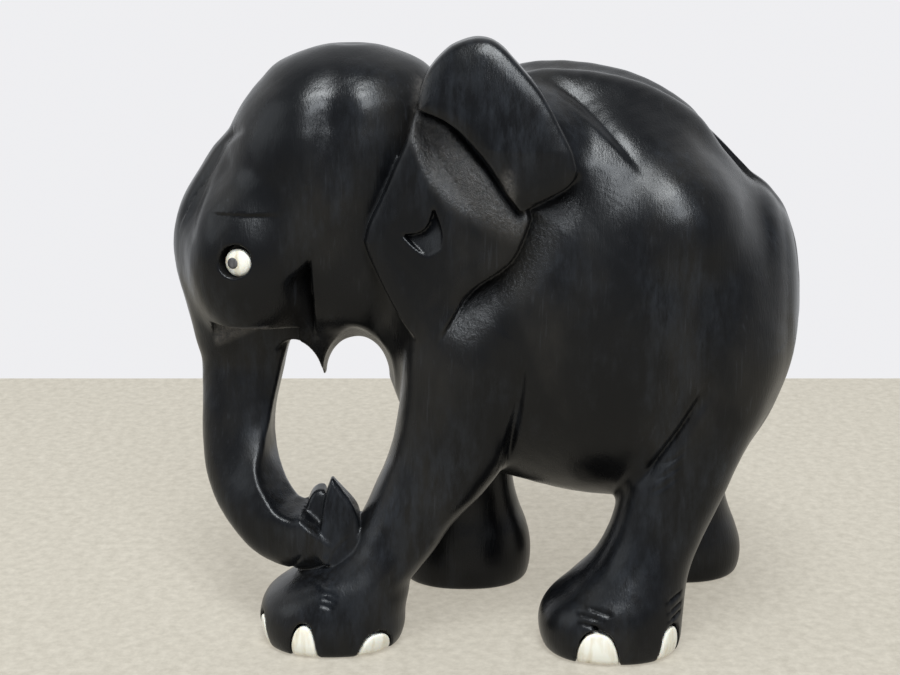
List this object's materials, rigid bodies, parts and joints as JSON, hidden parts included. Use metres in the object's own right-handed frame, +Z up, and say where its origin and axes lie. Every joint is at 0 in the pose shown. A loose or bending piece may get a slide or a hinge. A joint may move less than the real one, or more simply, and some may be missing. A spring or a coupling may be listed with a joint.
{
  "type": "elephant figurine",
  "caption": "Walking elephant figurine carved from a block of dark ebony, its trunk curled at the end, with bone discs for eyes and bone toenails let into the wood.",
  "frame": {"origin": "on the ground, at the middle of the figure's box seen from above", "axes": "-Y is forward, towards the head; +X is the elephant's left side; +Z is up"},
  "size_m": [0.079, 0.1329, 0.1272],
  "materials": {
    "ebony": "hand polished, satin, with darker and browner grain and small tool marks",
    "bone": "polished bone, with fine brown pores",
    "pupil": "dark plug, satin"
  },
  "bodies": {
    "root": {"carved_body": "ebony", "front_left_inner_nail": "bone", "front_left_middle_nail": "bone", "front_left_outer_nail": "bone", "front_right_inner_nail": "bone", "front_right_middle_nail": "bone", "front_right_outer_nail": "bone", "left_eye_disc": "bone", "left_pupil": "pupil", "rear_left_middle_nail": "bone", "rear_left_outer_nail": "bone", "rear_right_middle_nail": "bone", "rear_right_outer_nail": "bone", "right_eye_disc": "bone", "right_pupil": "pupil"}
  },
  "joints": []
}
